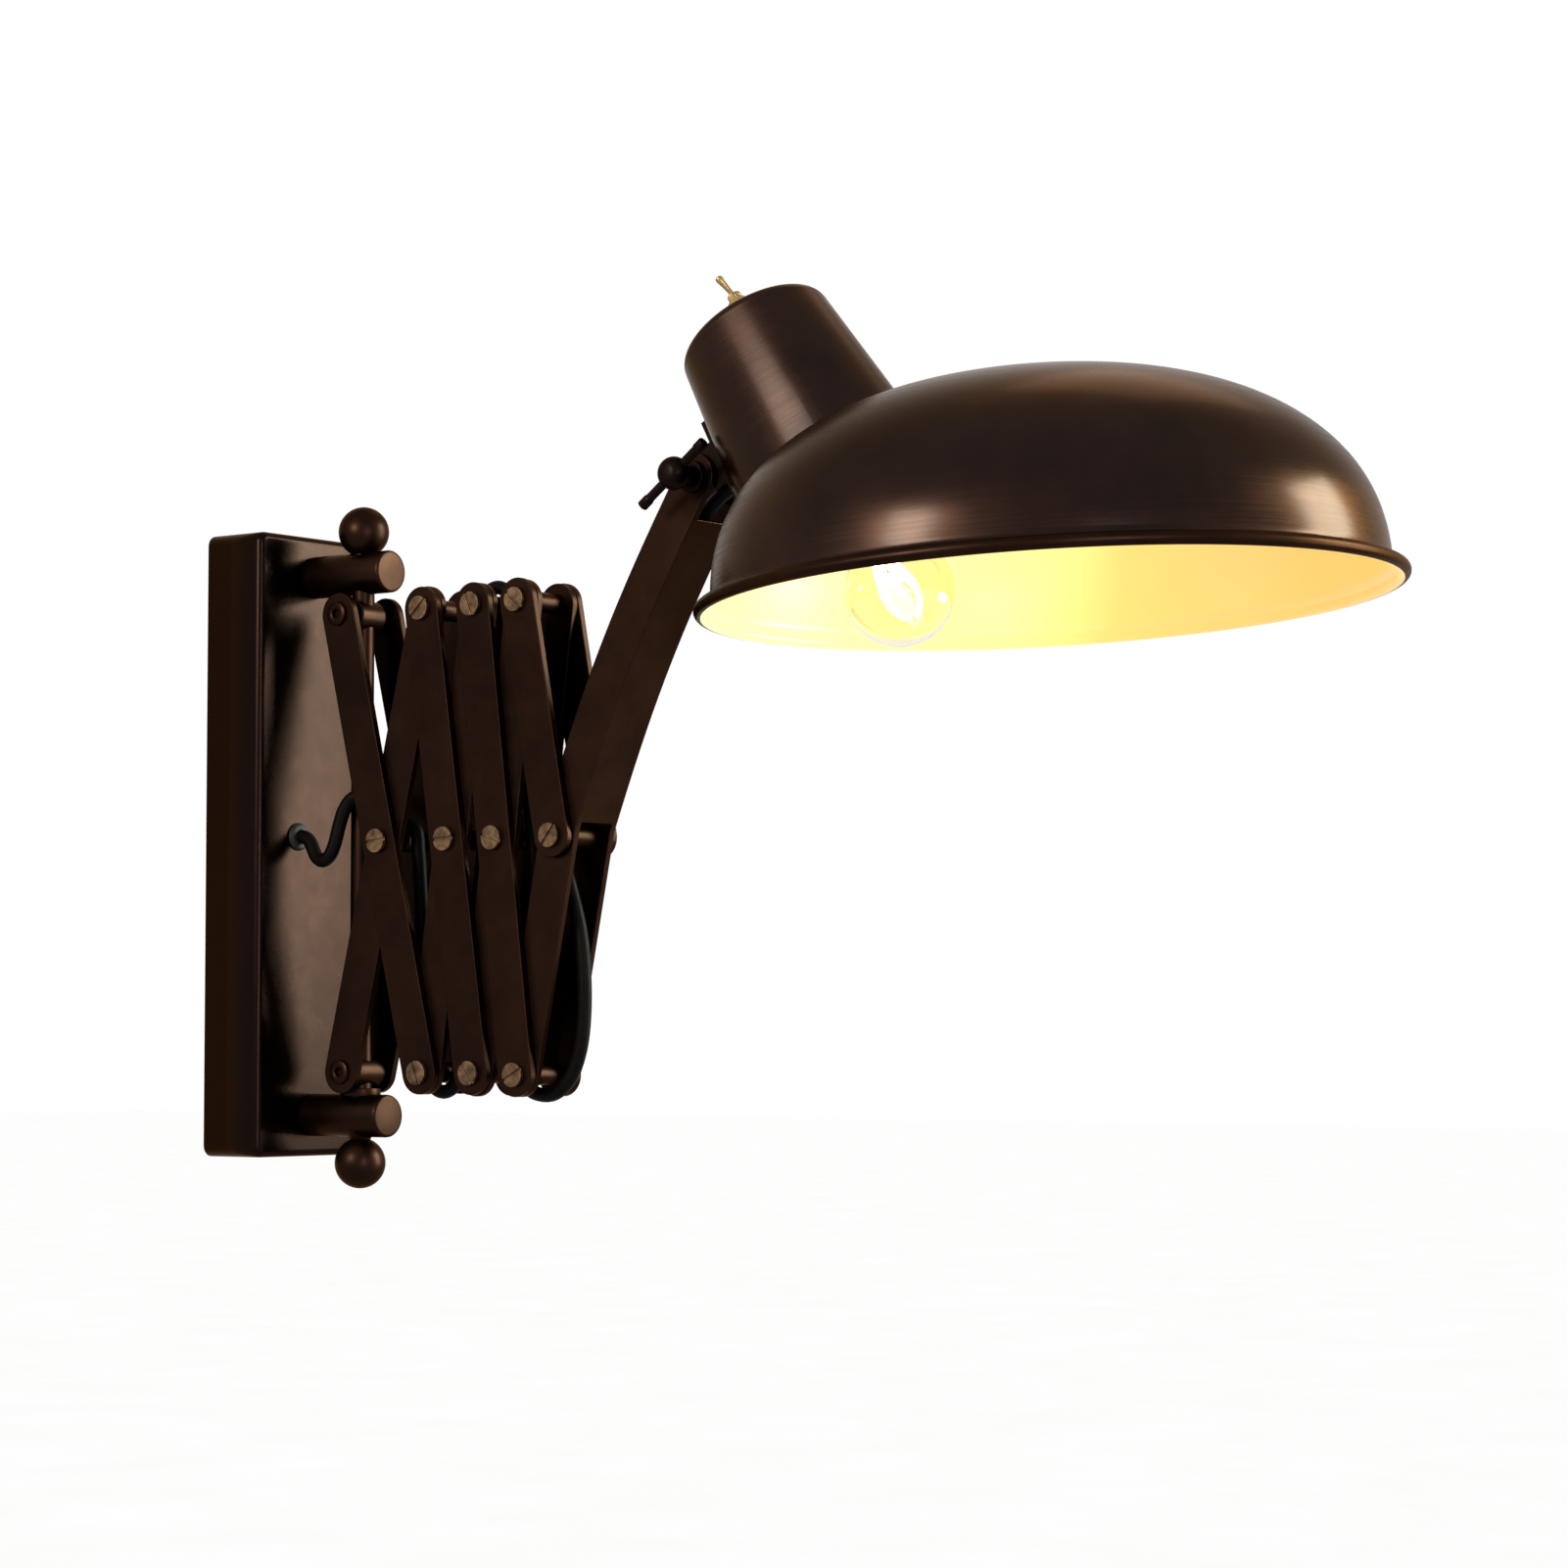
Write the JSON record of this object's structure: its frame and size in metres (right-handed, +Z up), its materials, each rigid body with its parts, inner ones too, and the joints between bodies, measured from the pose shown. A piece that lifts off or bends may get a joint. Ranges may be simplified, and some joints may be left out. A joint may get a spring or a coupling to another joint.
{
  "type": "accordion wall lamp",
  "caption": "Swing-arm wall lamp: a scissor bracket on an upright rod carries a long channel arm and a tilting spun dome shade, with a toggle switch on its neck.",
  "frame": {"origin": "middle of the mounting bar's back face, on the wall", "axes": "+X along the wall to the far side, -Y out of the wall towards the shade, +Z up"},
  "size_m": [0.2834, 0.5749, 0.3821],
  "materials": {
    "bronze_finish": "satin oil-rubbed bronze",
    "brass_hardware": "aged brass",
    "zinc_steel": "zinc plated steel",
    "nickel_plate": "nickel plate",
    "black_rubber": "matte",
    "cord_jacket": "smooth black jacket",
    "ivory_plastic": "glazed",
    "opal_glass": "lit opal glass"
  },
  "bodies": {
    "wall_bracket": {"wall_cover": "bronze_finish", "mounting_bar": "zinc_steel", "upper_post_sleeve": "zinc_steel", "lower_post_sleeve": "zinc_steel", "upper_post": "bronze_finish", "lower_post": "bronze_finish", "upper_finial": "bronze_finish", "lower_finial": "bronze_finish", "pivot_rod": "bronze_finish", "thrust_washer": "brass_hardware", "cord_grommet": "black_rubber", "terminal_block": "ivory_plastic", "cord_wall_loop": "cord_jacket"},
    "swivel": {"lower_barrel": "bronze_finish", "cord_entry": "cord_jacket"},
    "up_bars_0": {"near_up_bar_0": "bronze_finish", "far_up_bar_0": "bronze_finish"},
    "down_bars_0": {"near_down_bar_0": "bronze_finish", "far_down_bar_0": "bronze_finish", "pivot_pin_middle_0": "brass_hardware", "pivot_pin_low_1": "brass_hardware", "cord_down_bar_0": "cord_jacket"},
    "slider": {"upper_barrel": "bronze_finish"},
    "up_bars_1": {"near_up_bar_1": "bronze_finish", "far_up_bar_1": "bronze_finish", "cord_turn_low": "cord_jacket"},
    "down_bars_1": {"near_down_bar_1": "bronze_finish", "far_down_bar_1": "bronze_finish", "pivot_pin_high_1": "brass_hardware", "pivot_pin_middle_1": "brass_hardware", "pivot_pin_low_2": "brass_hardware"},
    "down_bars_2": {"near_down_bar_2": "bronze_finish", "far_down_bar_2": "bronze_finish", "pivot_pin_high_2": "brass_hardware", "pivot_pin_middle_2": "brass_hardware", "pivot_pin_low_3": "brass_hardware", "cord_turn_high": "cord_jacket"},
    "up_bars_2": {"near_up_bar_2": "bronze_finish", "far_up_bar_2": "bronze_finish"},
    "arm": {"long_arm": "bronze_finish", "tilt_nut": "bronze_finish", "cord_free_bow": "cord_jacket"},
    "down_bars_3": {"near_down_bar_3": "bronze_finish", "far_down_bar_3": "bronze_finish", "pivot_pin_high_3": "brass_hardware", "pivot_pin_middle_3": "brass_hardware"},
    "wing_screw": {"wing_screw": "bronze_finish"},
    "head": {"shade": "bronze_finish", "neck_cup": "bronze_finish", "head_bracket": "bronze_finish", "bracket_screw_upper": "bronze_finish", "bracket_screw_lower": "bronze_finish", "holder_plate": "zinc_steel", "lamp_holder": "ivory_plastic", "bulb_cap": "nickel_plate", "bulb_glass": "opal_glass", "switch_body": "nickel_plate", "switch_nut": "nickel_plate", "cord_head": "cord_jacket"},
    "switch_lever": {"switch_lever": "bronze_finish"}
  },
  "joints": [
    {"name": "arm_swivel", "type": "hinge", "parent": "wall_bracket", "child": "swivel", "pos_m": [0, -0.063, 0], "axis": [0, 0, 1], "range_deg": [-75, 75], "deforming": ["cord_wall_loop"]},
    {"name": "scissor_extend", "type": "hinge", "parent": "swivel", "child": "up_bars_0", "pos_m": [0, -0.063, -0.102], "axis": [1, 0, 0], "range_deg": [-1, 29], "deforming": ["cord_entry"]},
    {"name": "middle_pivot_0", "type": "hinge", "parent": "up_bars_0", "child": "down_bars_0", "pos_m": [0, -0.08787, 0.00001], "axis": [1, 0, 0], "range_deg": [-58.5, 2.5], "deforming": ["cord_down_bar_0"]},
    {"name": "upper_barrel_pivot", "type": "hinge", "parent": "down_bars_0", "child": "slider", "pos_m": [0, -0.063, 0.10203], "axis": [1, 0, 0], "range_deg": [-1.5, 29.5]},
    {"name": "low_pivot_1", "type": "hinge", "parent": "down_bars_0", "child": "up_bars_1", "pos_m": [0, -0.11274, -0.102], "axis": [1, 0, 0], "range_deg": [-2.5, 63], "deforming": ["cord_turn_low"]},
    {"name": "middle_pivot_1", "type": "hinge", "parent": "up_bars_1", "child": "down_bars_1", "pos_m": [0, -0.12777, -0.0002], "axis": [1, 0, 0], "range_deg": [-67.5, 3]},
    {"name": "high_pivot_2", "type": "hinge", "parent": "up_bars_1", "child": "down_bars_2", "pos_m": [0, -0.1428, 0.10159], "axis": [1, 0, 0], "range_deg": [-69, 3], "deforming": ["cord_turn_high"]},
    {"name": "middle_pivot_2", "type": "hinge", "parent": "down_bars_2", "child": "up_bars_2", "pos_m": [0, -0.15552, -0.00052], "axis": [1, 0, 0], "range_deg": [-3, 70.5]},
    {"name": "low_pivot_3", "type": "hinge", "parent": "down_bars_2", "child": "arm", "pos_m": [0, -0.16824, -0.10263], "axis": [1, 0, 0], "range_deg": [-3, 67], "deforming": ["cord_free_bow"]},
    {"name": "middle_pivot_3", "type": "hinge", "parent": "arm", "child": "down_bars_3", "pos_m": [0, -0.18812, -0.00034], "axis": [1, 0, 0], "range_deg": [-63.5, 3]},
    {"name": "wing_screw_turn", "type": "hinge", "parent": "arm", "child": "wing_screw", "pos_m": [0, -0.26327, 0.14778], "axis": [1, 0, 0], "range_deg": [-180, 180]},
    {"name": "head_tilt", "type": "hinge", "parent": "arm", "child": "head", "pos_m": [0, -0.26327, 0.14778], "axis": [1, 0, 0], "range_deg": [-60, 32], "deforming": ["cord_head"]},
    {"name": "switch_flip", "type": "hinge", "parent": "head", "child": "switch_lever", "pos_m": [-0.0208, -0.29095, 0.21964], "axis": [0, 0.8344, -0.5512], "range_deg": [0, 50]}
  ],
  "couplings": [
    {"joint": "middle_pivot_0", "follows": "scissor_extend", "ratio": -2},
    {"joint": "upper_barrel_pivot", "follows": "scissor_extend", "ratio": 1},
    {"joint": "low_pivot_1", "follows": "scissor_extend", "ratio": 2.15},
    {"joint": "middle_pivot_1", "follows": "scissor_extend", "ratio": -2.3},
    {"joint": "high_pivot_2", "follows": "scissor_extend", "ratio": -2.355},
    {"joint": "middle_pivot_2", "follows": "scissor_extend", "ratio": 2.41},
    {"joint": "low_pivot_3", "follows": "scissor_extend", "ratio": 2.29},
    {"joint": "middle_pivot_3", "follows": "scissor_extend", "ratio": -2.17}
  ]
}
